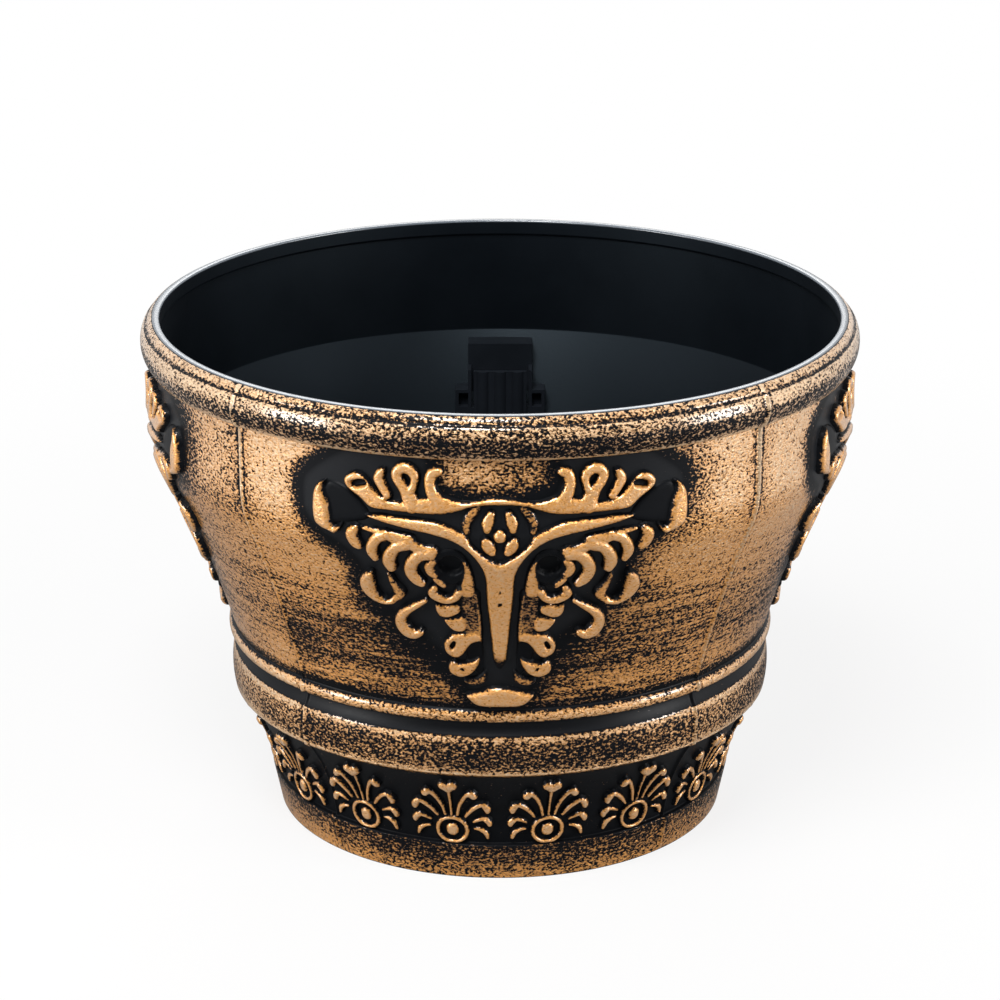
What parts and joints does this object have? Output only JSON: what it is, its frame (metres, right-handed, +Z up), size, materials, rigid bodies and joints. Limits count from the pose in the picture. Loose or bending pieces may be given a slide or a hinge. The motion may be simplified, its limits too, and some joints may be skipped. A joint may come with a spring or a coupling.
{
  "type": "plastic planter",
  "caption": "Round classical planter with beaded rim, leaf cartouches, waist mouldings and palmette frieze; holds soil and a plant over a lift-out drain grid and plug.",
  "frame": {"origin": "on the ground, under the middle of the pot", "axes": "+Z up along the pot's axis, -Y towards the cartouche that faces the viewer"},
  "size_m": [0.3, 0.3, 0.217],
  "materials": {
    "bronzed_plastic": "bronze dry-brushed over black moulded plastic",
    "black_plastic": "semi-gloss black moulded plastic",
    "plug_rubber": "matte"
  },
  "bodies": {
    "pot": {"pot_shell": "bronzed_plastic", "cartouche_front": "bronzed_plastic", "cartouche_right": "bronzed_plastic", "cartouche_back": "bronzed_plastic", "cartouche_left": "bronzed_plastic", "palmette_01": "bronzed_plastic", "palmette_02": "bronzed_plastic", "palmette_03": "bronzed_plastic", "palmette_04": "bronzed_plastic", "palmette_05": "bronzed_plastic", "palmette_06": "bronzed_plastic", "palmette_07": "bronzed_plastic", "palmette_08": "bronzed_plastic", "palmette_09": "bronzed_plastic", "palmette_10": "bronzed_plastic", "palmette_11": "bronzed_plastic", "palmette_12": "bronzed_plastic", "palmette_13": "bronzed_plastic", "palmette_14": "bronzed_plastic", "palmette_15": "bronzed_plastic", "palmette_16": "bronzed_plastic", "stake_socket_front": "black_plastic", "stake_socket_right": "black_plastic", "stake_socket_back": "black_plastic", "stake_socket_left": "black_plastic"},
    "grid": {"drain_grid": "black_plastic"},
    "plug": {"drain_plug": "plug_rubber"}
  },
  "joints": [
    {"name": "grid_lift", "type": "slide", "parent": "pot", "child": "grid", "axis": [0, 0, 1], "range_m": [0, 0.26]},
    {"name": "plug_lift", "type": "slide", "parent": "pot", "child": "plug", "axis": [0, 0, 1], "range_m": [0, 0.24]}
  ]
}
